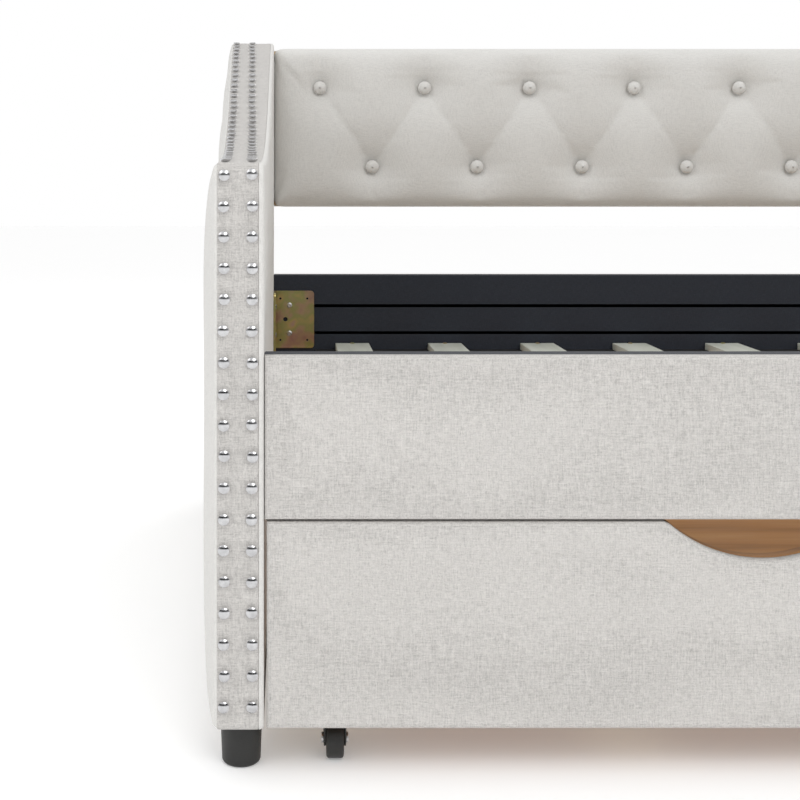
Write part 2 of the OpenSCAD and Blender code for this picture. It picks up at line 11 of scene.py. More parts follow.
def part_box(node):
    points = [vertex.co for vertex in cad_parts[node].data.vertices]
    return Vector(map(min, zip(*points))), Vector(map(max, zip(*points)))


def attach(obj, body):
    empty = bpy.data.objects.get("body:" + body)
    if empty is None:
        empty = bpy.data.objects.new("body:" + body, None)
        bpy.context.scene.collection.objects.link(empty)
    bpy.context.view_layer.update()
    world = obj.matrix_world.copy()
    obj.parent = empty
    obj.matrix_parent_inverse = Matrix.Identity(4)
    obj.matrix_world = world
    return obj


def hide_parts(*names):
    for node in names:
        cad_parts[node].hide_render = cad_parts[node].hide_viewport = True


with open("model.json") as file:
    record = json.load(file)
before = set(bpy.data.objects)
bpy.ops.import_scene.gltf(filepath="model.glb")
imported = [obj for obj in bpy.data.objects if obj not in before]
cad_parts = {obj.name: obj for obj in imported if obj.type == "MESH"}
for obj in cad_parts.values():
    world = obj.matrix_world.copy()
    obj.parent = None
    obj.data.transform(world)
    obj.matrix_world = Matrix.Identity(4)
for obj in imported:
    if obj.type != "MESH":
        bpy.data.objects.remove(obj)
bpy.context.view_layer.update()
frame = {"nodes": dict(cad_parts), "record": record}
cad = frame["nodes"]
mm = 0.001

cameraSetup = {
    "lens": 56.25,
    "place": (-0.9438, -1.735, 0.570),
    "shift": (0.14375, -0.27375),  # a level camera, so the rails stay level and the arms upright
}


def addCamera(setup):
    data = bpy.data.cameras.new("camera")
    data.lens = setup["lens"]
    data.shift_x, data.shift_y = setup["shift"]
    camera = bpy.data.objects.new("camera", data)
    camera.location = setup["place"]
    camera.rotation_euler = (math.radians(90), 0, 0)
    bpy.context.scene.collection.objects.link(camera)
    bpy.context.scene.camera = camera


addCamera(cameraSetup)
print("camera set")


class Nodes:
    # a node tree, and short ways to add nodes to it
    def __init__(self, tree):
        self.tree = tree

    def add(self, kind, settings=None, **inputs):
        node = self.tree.nodes.new(kind)
        for key, value in (settings or {}).items():
            setattr(node, key, value)
        for key, value in inputs.items():
            socket = node.inputs[key.replace("_", " ")]
            if isinstance(value, bpy.types.NodeSocket):
                self.tree.links.new(value, socket)
            else:
                socket.default_value = value
        return node

    def math(self, operation, first, second=0.0, third=0.0):
        node = self.tree.nodes.new("ShaderNodeMath")
        node.operation = operation
        for socket, value in zip(node.inputs, (first, second, third)):
            if isinstance(value, bpy.types.NodeSocket):
                self.tree.links.new(value, socket)
            else:
                socket.default_value = value
        return node.outputs[0]

    def ramp(self, value, stops):
        node = self.add("ShaderNodeValToRGB", Fac=value)
        while len(node.color_ramp.elements) < len(stops):
            node.color_ramp.elements.new(0.5)
        for element, (position, colour) in zip(node.color_ramp.elements, stops):
            element.position = position
            element.color = (*colour, 1)
        return node.outputs["Color"]


class Shader(Nodes):
    # a material, with the nodes that its finish is made of
    def __init__(self, name):
        self.material = bpy.data.materials.new(name)
        self.material.use_nodes = True
        super().__init__(self.material.node_tree)
        self.surface = self.tree.nodes["Principled BSDF"]
        self.place = self.add("ShaderNodeTexCoord").outputs["Object"]

    def stretched(self, scale):
        return self.add("ShaderNodeMapping", Vector=self.place, Scale=scale).outputs[0]

    def noise(self, scale, detail=2.0, vector=None, roughness=0.5):
        return self.add("ShaderNodeTexNoise", Vector=vector or self.place, Scale=scale,
                        Detail=detail, Roughness=roughness).outputs["Fac"]

    def bump(self, height, strength, distance):
        node = self.add("ShaderNodeBump", Height=height, Strength=strength, Distance=distance)
        self.join(node.outputs[0], "Normal")

    def join(self, output, socketName):
        self.tree.links.new(output, self.surface.inputs[socketName])

    def fix(self, **values):
        for key, value in values.items():
            self.surface.inputs[key.replace("_", " ")].default_value = value


def wovenCloth(name, look):
    # warp and weft threads along each axis, so every face shows two crossing sets
    shade = Shader(name)
    threads = []
    for direction in "XYZ":
        wave = shade.add(
            "ShaderNodeTexWave", {"bands_direction": direction}, Vector=shade.place,
            Scale=2 * math.pi / (20 * look["thread"]), Distortion=look["wobble"], Detail=2.0,
            Detail_Scale=1.2)
        threads.append(wave.outputs["Fac"])
    weave = shade.math("ADD", shade.math("ADD", threads[0], threads[1]), threads[2])
    slubs = None  # thick and thin places, long in the thread's own direction
    for axis in range(3):
        scale = [look["slubAcross"]] * 3
        scale[axis] = look["slubAlong"]
        noise = shade.noise(1.0, 1.0, shade.stretched(scale))
        slubs = noise if slubs is None else shade.math("ADD", slubs, noise)
    slubs = shade.math("MULTIPLY", slubs, 1 / 3)
    clouds = shade.noise(look["cloudScale"], 3.0)
    tone = shade.math("MULTIPLY_ADD", weave, look["weaveTone"], slubs)
    tone = shade.math("MULTIPLY_ADD", clouds, look["cloudTone"], tone)
    middle = 0.5 + 1.5 * look["weaveTone"] + 0.5 * look["cloudTone"]
    colour = shade.ramp(tone, [
        (middle - look["spread"], look["dark"]), (middle, look["colour"]),
        (middle + look["spread"], look["light"])])
    shade.join(colour, "Base Color")
    height = shade.math("MULTIPLY_ADD", slubs, look["slubHeight"], weave)
    shade.bump(height, look["bump"], look["thread"] * 0.35)
    shade.fix(Roughness=look["roughness"], Sheen_Weight=look["sheen"], Sheen_Roughness=0.5,
              Specular_IOR_Level=0.25)
    return shade.material


def shaded(colour, amount):
    return tuple(channel * amount for channel in colour)


linenColour = (0.632, 0.612, 0.588)
smoothColour = (0.735, 0.725, 0.700)
linenLook = {
    "colour": linenColour, "dark": shaded(linenColour, 0.66), "light": shaded(linenColour, 1.24),
    "thread": 0.0014, "wobble": 2.6, "slubAlong": 130, "slubAcross": 900, "slubHeight": 3.0,
    "cloudScale": 7, "cloudTone": 0.06, "weaveTone": 0.07, "spread": 0.24, "bump": 0.6,
    "roughness": 0.9, "sheen": 0.15,
}
smoothLook = dict(
    linenLook, thread=0.0011, slubAlong=110, slubAcross=1000, slubHeight=1.5, weaveTone=0.03,
    colour=smoothColour, dark=shaded(smoothColour, 0.84), light=shaded(smoothColour, 1.10),
    bump=0.3)
liningColour = (0.024, 0.028, 0.038)
liningLook = dict(
    linenLook, colour=liningColour, dark=shaded(liningColour, 0.7),
    light=shaded(liningColour, 1.5), thread=0.0009, bump=0.25, roughness=0.75, sheen=0.1)

linen = wovenCloth("linen", linenLook)
smoothLinen = wovenCloth("smooth_linen", smoothLook)
darkLining = wovenCloth("dark_lining", liningLook)


def woodGrain(name, look):
    # long streaks with the grain, darker pores, and a slow change from board to board
    shade = Shader(name)
    along = list(look["stretch"])
    streaks = shade.noise(1.0, 6.0, shade.stretched(along), 0.62)
    rings = shade.add(
        "ShaderNodeTexWave", {"bands_direction": look["across"]},
        Vector=shade.stretched([value * 0.09 for value in along]), Scale=1.0, Distortion=9.0,
        Detail=3.0, Detail_Scale=0.8).outputs["Fac"]
    pores = shade.noise(1.0, 2.0, shade.stretched([value * 5 for value in along]))
    tone = shade.math("MULTIPLY_ADD", rings, 0.28, streaks)
    tone = shade.math("MULTIPLY_ADD", pores, 0.18, tone)
    colour = shade.ramp(tone, [(0.45, look["dark"]), (0.72, look["colour"]), (1.0, look["light"])])
    shade.join(colour, "Base Color")
    shade.join(shade.math("MULTIPLY_ADD", pores, 0.25, look["roughness"]), "Roughness")
    shade.bump(tone, look["bump"], 0.0006)
    shade.fix(Specular_IOR_Level=0.35)
    return shade.material


# the deck's wood colours are set brighter than the wood's own: painted light that makes up for the
# dim light under the slats
deckWoodWithPaintedLight = woodGrain("deck_wood", {
    "stretch": (4, 46, 46), "across": "Y", "dark": (0.34, 0.155, 0.045),
    "colour": (0.44, 0.21, 0.068), "light": (0.50, 0.26, 0.095), "roughness": 0.42, "bump": 0.35})
timberWood = woodGrain("timber", {
    "stretch": (5, 40, 40), "across": "Y", "dark": (0.42, 0.27, 0.13),
    "colour": (0.60, 0.43, 0.24), "light": (0.72, 0.55, 0.34), "roughness": 0.55, "bump": 0.4})


def paintedSlat():
    # thin milky paint over a planed board, in uneven patches
    shade = Shader("slat_paint")
    grain = shade.noise(1.0, 4.0, shade.stretched((55, 4, 55)), 0.6)
    patches = shade.noise(14.0, 3.0)
    tone = shade.math("MULTIPLY_ADD", patches, 0.5, grain)
    colour = shade.ramp(tone, [
        (0.45, (0.56, 0.58, 0.51)), (0.75, (0.66, 0.685, 0.61)), (1.0, (0.74, 0.76, 0.69))])
    shade.join(colour, "Base Color")
    shade.join(shade.math("MULTIPLY_ADD", grain, 0.3, 0.35), "Roughness")
    shade.bump(grain, 0.35, 0.0005)
    return shade.material


def polishedMetal(name, look):
    shade = Shader(name)
    patches = shade.noise(look["patchScale"], 3.0)
    scratches = shade.noise(1.0, 2.0, shade.stretched((900, 900, 120)))
    shade.join(shade.ramp(patches, look["colours"]), "Base Color")
    shade.join(shade.math("MULTIPLY_ADD", patches, look["roughSpread"], look["roughness"]),
               "Roughness")
    shade.bump(scratches, look["bump"], 0.0002)
    shade.fix(Metallic=1.0)
    return shade.material


slatPaint = paintedSlat()
nailChrome = polishedMetal("nail_chrome", {
    "patchScale": 200, "colours": [(0.3, (0.50, 0.50, 0.51)), (0.7, (0.64, 0.64, 0.65))],
    "roughness": 0.10, "roughSpread": 0.12, "bump": 0.08})
brightSteel = polishedMetal("bright_steel", {
    "patchScale": 90, "colours": [(0.3, (0.50, 0.50, 0.51)), (0.7, (0.68, 0.68, 0.69))],
    "roughness": 0.22, "roughSpread": 0.2, "bump": 0.2})
yellowZinc = polishedMetal("yellow_zinc", {
    "patchScale": 26, "colours": [
        (0.30, (0.50, 0.30, 0.27)), (0.42, (0.60, 0.44, 0.28)), (0.52, (0.46, 0.47, 0.20)),
        (0.62, (0.62, 0.50, 0.22)), (0.74, (0.55, 0.33, 0.36))],
    "roughness": 0.24, "roughSpread": 0.22, "bump": 0.25})


def mattBlack(name, look):
    shade = Shader(name)
    grain = shade.noise(look["grain"], 3.0)
    dust = shade.noise(30.0, 4.0)
    shade.join(shade.ramp(dust, [(0.35, look["colour"]), (0.8, look["dusty"])]), "Base Color")
    shade.join(shade.math("MULTIPLY_ADD", grain, 0.25, look["roughness"]), "Roughness")
    shade.bump(grain, look["bump"], 0.0004)
    return shade.material


blackPlastic = mattBlack("black_plastic", {
    "grain": 900, "colour": (0.013, 0.013, 0.012), "dusty": (0.026, 0.026, 0.024),
    "roughness": 0.38, "bump": 0.25})
blackPaint = mattBlack("black_paint", {
    "grain": 420, "colour": (0.016, 0.015, 0.014), "dusty": (0.030, 0.029, 0.027),
    "roughness": 0.42, "bump": 0.3})

finishes = {
    "linen": linen, "smooth_linen": smoothLinen, "dark_lining": darkLining,
    "deck_wood": deckWoodWithPaintedLight, "timber": timberWood, "slat_paint": slatPaint,
    "nail_chrome": nailChrome, "bright_steel": brightSteel, "yellow_zinc": yellowZinc,
    "black_plastic": blackPlastic, "black_paint": blackPaint,
}
print("materials made")


def addPiece(name, points, faces, finish, body, smooth=True):
    mesh = bpy.data.meshes.new(name)
    mesh.from_pydata([tuple(point) for point in points], [], [tuple(face) for face in faces])
    work = bmesh.new()
    work.from_mesh(mesh)
    bmesh.ops.recalc_face_normals(work, faces=work.faces)
    bmesh.ops.triangulate(work, faces=[face for face in work.faces if len(face.verts) > 8])
    work.to_mesh(mesh)
    work.free()
    mesh.polygons.foreach_set("use_smooth", [smooth] * len(mesh.polygons))
    mesh.materials.append(finishes[finish])
    piece = bpy.data.objects.new(name, mesh)
    bpy.context.scene.collection.objects.link(piece)
    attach(piece, body)
    return piece


def pointsOf(piece):
    points = np.zeros(len(piece.data.vertices) * 3)
    piece.data.vertices.foreach_get("co", points)
    return points.reshape(-1, 3)


def movePoints(piece, points):
    piece.data.vertices.foreach_set("co", points.ravel())
    piece.data.update()


def unit(vectors):
    return vectors / np.maximum(np.linalg.norm(vectors, axis=-1, keepdims=True), 1e-12)


def evenLoop(corners, step):
    # a closed outline with no stretch longer than step
    points = []
    for start, end in zip(corners, corners[1:] + corners[:1]):
        count = max(1, math.ceil(math.dist(start, end) / step))
        for i in range(count):
            share = i / count
            points.append((start[0] + (end[0] - start[0]) * share,
                           start[1] + (end[1] - start[1]) * share))
    return np.array(points)


def insetLoop(loop, inset):
    # moves a counter-clockwise outline inwards, mitred at its corners
    before = unit(loop - np.roll(loop, 1, 0))
    after = unit(np.roll(loop, -1, 0) - loop)
    left = np.stack([-before[:, 1], before[:, 0]], 1)
    right = np.stack([-after[:, 1], after[:, 0]], 1)
    middle = unit(left + right)
    reach = 1 / np.maximum((middle * left).sum(1), 0.5)
    return loop + middle * (inset * reach)[:, None]


def arcPoints(centre, radius, start, end, steps):
    return [
        (centre[0] + radius * math.cos(math.radians(start + (end - start) * i / steps)),
         centre[1] + radius * math.sin(math.radians(start + (end - start) * i / steps)))
        for i in range(steps + 1)
    ]


def edgeDistance(points, loop):
    # distance of each point from the outline, in slices to keep the table small
    result = np.empty(len(points))
    ends = np.roll(loop, -1, 0)
    along = ends - loop
    length = np.maximum((along ** 2).sum(1), 1e-18)
    for first in range(0, len(points), 2000):
        part = points[first:first + 2000]
        offset = part[:, None, :] - loop[None]
        share = np.clip((offset * along).sum(2) / length, 0, 1)
        nearest = offset - share[..., None] * along
        result[first:first + 2000] = np.sqrt((nearest ** 2).sum(2).min(1))
    return result


def roundedEdge(depth, radius, steps=5):
    # (inset, height) from the hidden back edge, up the side and round onto the face
    edge = [(0, -depth), (0, -(depth + radius) / 2), (0, -radius)]
    for i in range(1, steps + 1):
        angle = math.radians(90 * i / steps)
        edge.append((radius - radius * math.cos(angle), -radius + radius * math.sin(angle)))
    return edge


def coveredPanel(name, rim, edge, cell, place, relief, finish, body):
    # a closed skin: rings that turn round the edge to the rim, then a fine face that takes the relief
    count = len(rim)
    flat, heights, faces = [], [], []
    for inset, height in edge:
        flat.append(insetLoop(rim, inset - edge[-1][0]))
        heights.append(np.full(count, height))
    for ring in range(len(edge) - 1):
        for i in range(count):
            j = (i + 1) % count
            faces.append((ring * count + i, ring * count + j,
                          (ring + 1) * count + j, (ring + 1) * count + i))
    faces.append(tuple(range(count - 1, -1, -1)))
    low, high = rim.min(0), rim.max(0)
    columns = np.arange(low[0] + cell / 2, high[0], cell)
    rows = np.arange(low[1] + cell / 2, high[1], cell)
    grid = np.stack(np.meshgrid(columns, rows), -1)
    grid[::2, :, 0] += cell * 0.25  # staggered rows bend more evenly
    grid[1::2, :, 0] -= cell * 0.25
    grid = grid.reshape(-1, 2)
    grid = grid[insideLoop(grid, rim) & (edgeDistance(grid, rim) > cell * 0.45)]
    solved = delaunay_2d_cdt(
        [Vector(point) for point in np.concatenate([rim, grid])],
        [(i, (i + 1) % count) for i in range(count)], [], 1, 1e-7)
    first = (len(edge) - 1) * count  # the rim's points are the last ring's, and the grid's follow
    for face in solved[2]:
        faces.append(tuple(first + solved[3][index][0] for index in face))
    flat.append(grid)
    heights.append(np.full(len(grid), edge[-1][1]))
    flat, heights = np.concatenate(flat), np.concatenate(heights)
    away = edgeDistance(flat, insetLoop(rim, -edge[-1][0]))
    onFace = np.arange(len(flat)) >= first
    heights = heights + np.where(onFace, relief(flat[:, 0], flat[:, 1], away), 0)
    piece = addPiece(name, place(flat[:, 0], flat[:, 1], heights), faces, finish, body)
    piece["held"] = first
    return piece


def insideLoop(points, loop):
    # even-odd test, one outline edge at a time
    inside = np.zeros(len(points), bool)
    for start, end in zip(loop, np.roll(loop, -1, 0)):
        crosses = (start[1] > points[:, 1]) != (end[1] > points[:, 1])
        if crosses.any():
            at = start[0] + (points[:, 1] - start[1]) / (end[1] - start[1]) * (end[0] - start[0])
            inside ^= crosses & (points[:, 0] < at)
    return inside


def rectangleRim(low, high, inset, step):
    # the flat face's outline: a rectangle that stands inside the panel's outline
    corners = [(low[0] + inset, low[1] + inset), (high[0] - inset, low[1] + inset),
               (high[0] - inset, high[1] - inset), (low[0] + inset, high[1] - inset)]
    return evenLoop(corners, step)


def ripple(u, v, seed, size, amount):
    # a slow unevenness made of a few sine waves, the same on every run
    draw = random.Random(seed)
    total = np.zeros_like(u)
    for _ in range(9):
        angle = draw.uniform(0, math.pi)
        length = size * draw.uniform(0.6, 1.8)
        total += np.sin((u * math.cos(angle) + v * math.sin(angle)) * 2 * math.pi / length
                        + draw.uniform(0, 6.28))
    return total * amount / 3


def stack(x, y, z):
    return np.stack([x, y, z], 1)


def inflate(piece, held, look):
    # blows the closed skin up like a filled cover, holding some points and capping the rest
    scene = bpy.context.scene
    before = pointsOf(piece)
    group = piece.vertex_groups.new(name="held")
    group.add([int(i) for i in held], 1.0, "REPLACE")
    cloth = piece.modifiers.new("filling", "CLOTH")
    settings = cloth.settings
    settings.quality = 4
    settings.mass = 0.3
    settings.tension_stiffness = settings.compression_stiffness = look["stiffness"]
    settings.shear_stiffness = look["stiffness"] * 0.4
    settings.bending_stiffness = look["bending"]
    settings.use_pressure = True
    settings.uniform_pressure_force = look["pressure"]
    settings.effector_weights.gravity = 0
    settings.vertex_group_mass = "held"
    cloth.collision_settings.use_collision = False
    cloth.point_cache.frame_start, cloth.point_cache.frame_end = 1, look["frames"]
    for step in range(1, look["frames"] + 1):
        scene.frame_set(step)
    shown = piece.evaluated_get(bpy.context.evaluated_depsgraph_get())
    after = np.zeros(len(before) * 3)
    shown.data.vertices.foreach_get("co", after)
    move = after.reshape(-1, 3) - before
    size = np.linalg.norm(move, axis=1, keepdims=True)
    move *= look["cap"] * np.tanh(size / look["cap"]) / np.maximum(size, 1e-9)
    piece.modifiers.remove(cloth)
    piece.vertex_groups.remove(piece.vertex_groups["held"])
    scene.frame_set(1)
    movePoints(piece, before + move)


def subdivide(piece, levels=1):
    finer = piece.modifiers.new("finer", "SUBSURF")
    finer.levels = finer.render_levels = levels


armLook = {
    "frontHeight": 0.588, "frontRadius": 0.014, "rearRadius": 0.034, "endSlope": 14.5,
    "frontLead": 0.49, "rearLead": 0.30, "footRadius": 0.007, "step": 0.004,
    "frontThickness": 0.0455, "flare": 0.028, "coverEdge": 0.005, "stripEdge": 0.0016,
    "stripDepth": 0.0038, "dent": 0.0009, "dentReach": 0.0085,
    "padStand": 0.0122, "padRise": 0.020, "padCell": 0.010,
    "padSection": [(0.0012, -0.005), (0.0010, -0.002), (0.0010, -0.0004), (0.0016, 0.0010),
                   (0.0028, 0.0023), (0.0046, 0.0035)],  # (inset, height) round the pad's edge
}
armLow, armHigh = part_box("right_arm_edge_strip")
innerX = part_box("right_arm_inner_cover")[0].x


def armOutline(look):
    # counter-clockwise in Y and Z: along the floor, up the rear, down the wave to the front
    y0, y1, floorZ, topZ = armLow.y, armHigh.y, armLow.z, armHigh.z
    front, rear = look["frontRadius"], look["rearRadius"]
    slope = math.radians(look["endSlope"])
    depth = y1 - y0
    start = np.array((y0 + front, look["frontHeight"]))
    end = np.array((y1 - rear * (1 + math.sin(slope)), topZ - rear * (1 - math.cos(slope))))
    lead = start + (look["frontLead"] * depth, 0)
    tail = end - look["rearLead"] * depth * np.array((math.cos(slope), math.sin(slope)))
    wave = []
    for i in range(1, 60):
        u = 1 - i / 60
        wave.append(tuple((1 - u) ** 3 * start + 3 * (1 - u) ** 2 * u * lead
                          + 3 * (1 - u) * u * u * tail + u ** 3 * end))
    foot = look["footRadius"]
    return (
        arcPoints((y0 + foot, floorZ + foot), foot, 180, 270, 4)
        + arcPoints((y1 - foot, floorZ + foot), foot, 270, 360, 4)
        + arcPoints((y1 - rear, topZ - rear), rear, 0, 90 + look["endSlope"], 10)
        + wave
        + arcPoints((y0 + front, look["frontHeight"] - front), front, 90, 180, 8))


def armOuterX(y, look):
    return innerX + look["frontThickness"] + look["flare"] * (y - armLow.y) / (armHigh.y - armLow.y)


def bandSection(edge, depth, steps=16):
    # across the band: (share of its width, offset along it, depth under its face)
    near = [(0, 0, depth), (0, 0, edge)]
    for angle in (30, 60, 90):
        turn = math.radians(angle)
        near.append((0, edge * (1 - math.cos(turn)), edge * (1 - math.sin(turn))))
    middle = [(i / steps, edge * (1 - 2 * i / steps), 0) for i in range(1, steps)]
    return near + middle + [(1, -offset, drop) for _, offset, drop in reversed(near)]


def addEdgeStrip(side, name, look, nails):
    # the band that runs round the arm's edge, pressed in a little under every nail
    loop = evenLoop(armOutline(look), look["step"])
    section = bandSection(look["stripEdge"], look["stripDepth"])
    rings = []
    for share, offset, drop in section:
        outline = insetLoop(loop, drop)
        width = armOuterX(outline[:, 0], look) - innerX - look["coverEdge"]
        x = innerX + look["coverEdge"] + share * width + offset
        rings.append(stack(x, outline[:, 0], outline[:, 1]))
    count = len(loop)
    points = np.concatenate(rings)
    outward = np.tile(unit(np.c_[np.zeros(count), loop - insetLoop(loop, 0.001)]), (len(rings), 1))
    onTop = np.repeat([i in range(4, len(section) - 4) for i in range(len(section))], count)
    dent = np.zeros(len(points))
    for centre, _ in nails:
        away = np.linalg.norm(points - np.array(centre), axis=1)
        dent += look["dent"] * np.exp(-(away / look["dentReach"]) ** 2)
    swell = ripple(points[:, 1] + points[:, 0], points[:, 2], 11, 0.05, 0.00022)
    points += outward * ((swell - dent) * onTop)[:, None]
    points[:, 0] *= side
    faces = []
    for ring in range(len(rings)):
        following = (ring + 1) % len(rings)
        for i in range(count):
            j = (i + 1) % count
            faces.append((ring * count + i, ring * count + j,
                          following * count + j, following * count + i))
    piece = addPiece(name + "_band", points, faces, "linen", "bed")
    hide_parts(name + "_edge_strip")


def addArmCovers(side, name, look):
    outline = evenLoop(armOutline(look), 0.007)

    def innerPlace(y, z, height):
        return stack(side * (innerX - height), y, z)

    def innerRelief(y, z, away):
        above = np.clip((z - 0.42) / 0.06, 0, 1)
        return above * (0.0012 * (1 - np.exp(-away / 0.03)) + ripple(y, z, 5, 0.25, 0.0003))

    edge = roundedEdge(look["coverEdge"], look["coverEdge"] - 0.0004)
    cover = coveredPanel(name + "_inner_face", insetLoop(outline, edge[-1][0]), edge, 0.014,
                         innerPlace, innerRelief, "smooth_linen", "bed")
    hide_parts(name + "_inner_cover")

    def outerPlace(y, z, height):
        return stack(side * (armOuterX(y, look) + height), y, z)

    def outerRelief(y, z, away):
        stand = look["padStand"] - look["padSection"][-1][1]
        rise = stand * (1 - np.exp(-np.maximum(away - 0.005, 0) / look["padRise"]))
        return rise * 0.92 + ripple(y, z, 8, 0.30, 0.0007)

    edge = look["padSection"]
    pad = coveredPanel(name + "_outer_pad_cover", insetLoop(outline, edge[-1][0]), edge,
                       look["padCell"], outerPlace, outerRelief, "smooth_linen", "bed")
    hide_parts(name + "_outer_pad")
    return pad


def nailPlaces(node):
    # centre and outward axis of each separate nailhead in a CAD node
    work = bmesh.new()
    work.from_mesh(cad[node].data)
    bmesh.ops.remove_doubles(work, verts=work.verts, dist=1e-6)
    left = set(work.verts)
    places = []
    while left:
        group, queue = [], [left.pop()]
        while queue:
            vertex = queue.pop()
            group.append(vertex.co[:])
            for edge in vertex.link_edges:
                other = edge.other_vert(vertex)
                if other in left:
                    left.remove(other)
                    queue.append(other)
        points = np.array(group)
        middle = points.mean(0)
        axis = np.linalg.svd(points - middle)[2][2]
        reach = (points - middle) @ axis
        if reach.max() < -reach.min():
            axis, reach = -axis, -reach
        places.append((middle + axis * reach.min(), axis))
    work.free()
    return places


nailLook = {"radius": 5.45 * mm, "height": 3.5 * mm, "around": 24, "wander": 0.6 * mm, "tilt": 0.05}


def addNails(name, side, places, look, seed):
    draw = random.Random(seed)
    profile = [(1.0, 0.0), (1.02, 0.07), (0.985, 0.15)]
    profile += [(math.cos(math.radians(a)) * 0.97, 0.16 + 0.84 * math.sin(math.radians(a)))
                for a in (14, 28, 42, 56, 70, 80)]
    points, faces = [], []
    for centre, axis in places:
        up = Vector(axis) + Vector([draw.uniform(-1, 1) * look["tilt"] for _ in range(3)])
        turn = up.to_track_quat("Z", "Y").to_matrix()
        shift = turn @ Vector((draw.uniform(-1, 1), draw.uniform(-1, 1), -0.35)) * look["wander"]
        first = len(points)
        for radius, height in profile:
            for i in range(look["around"]):
                angle = 2 * math.pi * i / look["around"]
                local = Vector((radius * look["radius"] * math.cos(angle),
                                radius * look["radius"] * math.sin(angle), height * look["height"]))
                points.append(Vector(centre) + shift + turn @ local)
        points.append(Vector(centre) + shift + turn @ Vector((0, 0, look["height"])))
        for ring in range(len(profile) - 1):
            for i in range(look["around"]):
                j = (i + 1) % look["around"]
                base = first + ring * look["around"]
                faces.append((base + i, base + j, base + look["around"] + j,
                              base + look["around"] + i))
        last = first + (len(profile) - 1) * look["around"]
        for i in range(look["around"]):
            faces.append((last + i, last + (i + 1) % look["around"], len(points) - 1))
        faces.append(tuple(first + i for i in reversed(range(look["around"]))))
    piece = addPiece(name + "_nails", points, faces, "nail_chrome", "bed")
    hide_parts(name + "_nailheads")


padLook = {"stiffness": 12, "bending": 0.5, "pressure": 4, "frames": 20, "cap": 5 * mm}

for side, name in ((-1, "left_arm"), (1, "right_arm")):
    nails = nailPlaces(name + "_nailheads")
    mirrored = [((side * centre[0], centre[1], centre[2]), axis) for centre, axis in nails]
    addEdgeStrip(side, name, armLook, mirrored)
    pad = addArmCovers(side, name, armLook)
    inflate(pad, np.arange(pad["held"]), padLook)
    subdivide(pad)
    addNails(name, side, nails, nailLook, 21 + side)
print("arms covered")

backLook = {
    "cell": 0.0065, "edgeRadius": 0.016, "rimBack": 0.009, "crown": 0.014, "dimple": 0.0175,
    "dimpleReach": 0.030, "fold": 0.0050, "foldWidth": 0.0045, "sag": 0.0025, "sagWidth": 0.022,
    "pleat": 0.0030, "pleatWidth": 0.0035, "tuck": 0.0016, "tuckWidth": 0.003, "tuckReach": 0.05,
    "crownReach": 0.032, "rimFade": 0.014, "buttonCount": 20,
    "buttonRadius": 11.75 * mm, "buttonHeight": 8.5 * mm,
}
backLow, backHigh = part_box("back_pad")


def buttonPlaces():
    low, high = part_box("back_buttons")
    radius = backLook["buttonRadius"]
    count = backLook["buttonCount"]
    pitch = (high.x - low.x - 2 * radius) / (count - 1)
    rowHeights = (high.z - radius, low.z + radius)  # the upper row starts at the left
    return [(low.x + radius + i * pitch, rowHeights[i % 2]) for i in range(count)]


buttons = buttonPlaces()


def segmentShare(u, v, start, end):
    along = np.array(end) - np.array(start)
    share = ((u - start[0]) * along[0] + (v - start[1]) * along[1]) / (along @ along)
    inside = np.clip(share, 0, 1)
    away = np.hypot(u - start[0] - inside * along[0], v - start[1] - inside * along[1])
    return inside, away


def tuftRelief(u, v, away):
    # deep at the buttons, folds from button to button, short pleats out to the nearest edge
    look = backLook
    sink = np.zeros_like(u)
    near = np.full_like(u, 9.0)
    for centre in buttons:
        reach = np.hypot(u - centre[0], v - centre[1])
        near = np.minimum(near, reach)
    sink += look["dimple"] * np.exp(-(np.maximum(near - 0.006, 0) / look["dimpleReach"]) ** 1.15)
    draw = random.Random(3)
    for start, end in zip(buttons, buttons[1:]):
        share, off = segmentShare(u, v, start, end)
        strength = look["fold"] * (0.45 + 0.55 * np.abs(2 * share - 1)) * draw.uniform(0.7, 1.15)
        sink += strength * np.exp(-off / look["foldWidth"])
        sink += look["sag"] * np.exp(-(off / look["sagWidth"]) ** 2)
    for i, centre in enumerate(buttons):
        edgeV = backHigh.z if i % 2 == 0 else backLow.z
        share, off = segmentShare(u, v, centre, (centre[0] + draw.uniform(-0.004, 0.004), edgeV))
        pleat = look["pleat"] * draw.uniform(0.5, 1.2)
        sink += pleat * (1 - 0.5 * share) * np.exp(-off / look["pleatWidth"])
        for turn in (0, 180):
            angle = math.radians(turn + draw.uniform(-12, 12))
            tip = (centre[0] + look["tuckReach"] * math.cos(angle),
                   centre[1] + look["tuckReach"] * math.sin(angle))
            share, off = segmentShare(u, v, centre, tip)
            sink += look["tuck"] * (1 - share) * np.exp(-off / look["tuckWidth"])
    fromRim = np.maximum(away - look["edgeRadius"], 0)
    crown = look["crown"] * (1 - np.exp(-fromRim / look["crownReach"]))
    fade = 1 - np.exp(-fromRim / look["rimFade"])
    return crown + (ripple(u, v, 17, 0.12, 0.0004) - sink) * fade


def backPlace(x, z, height):
    return stack(x, backLow.y + backLook["rimBack"] - height, z)


def addBackPad(look):
    rim = rectangleRim((backLow.x, backLow.z), (backHigh.x, backHigh.z), look["edgeRadius"], 0.0065)
    pad = coveredPanel(
        "back_tufted_pad", rim,
        roundedEdge(backHigh.y - backLow.y - look["rimBack"], look["edgeRadius"], 6),
        look["cell"], backPlace, tuftRelief, "smooth_linen", "bed")
    points = pointsOf(pad)
    held = set(range(3 * len(rim)))
    near = np.full(len(points), 9.0)
    for centre in buttons:
        near = np.minimum(near, np.hypot(points[:, 0] - centre[0], points[:, 2] - centre[1]))
    held |= set(np.nonzero(near < 0.0095)[0].tolist())
    inflate(pad, sorted(held), {
        "stiffness": 9, "bending": 0.15, "pressure": 5, "frames": 20, "cap": 7 * mm})
    subdivide(pad)
    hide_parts("back_pad")


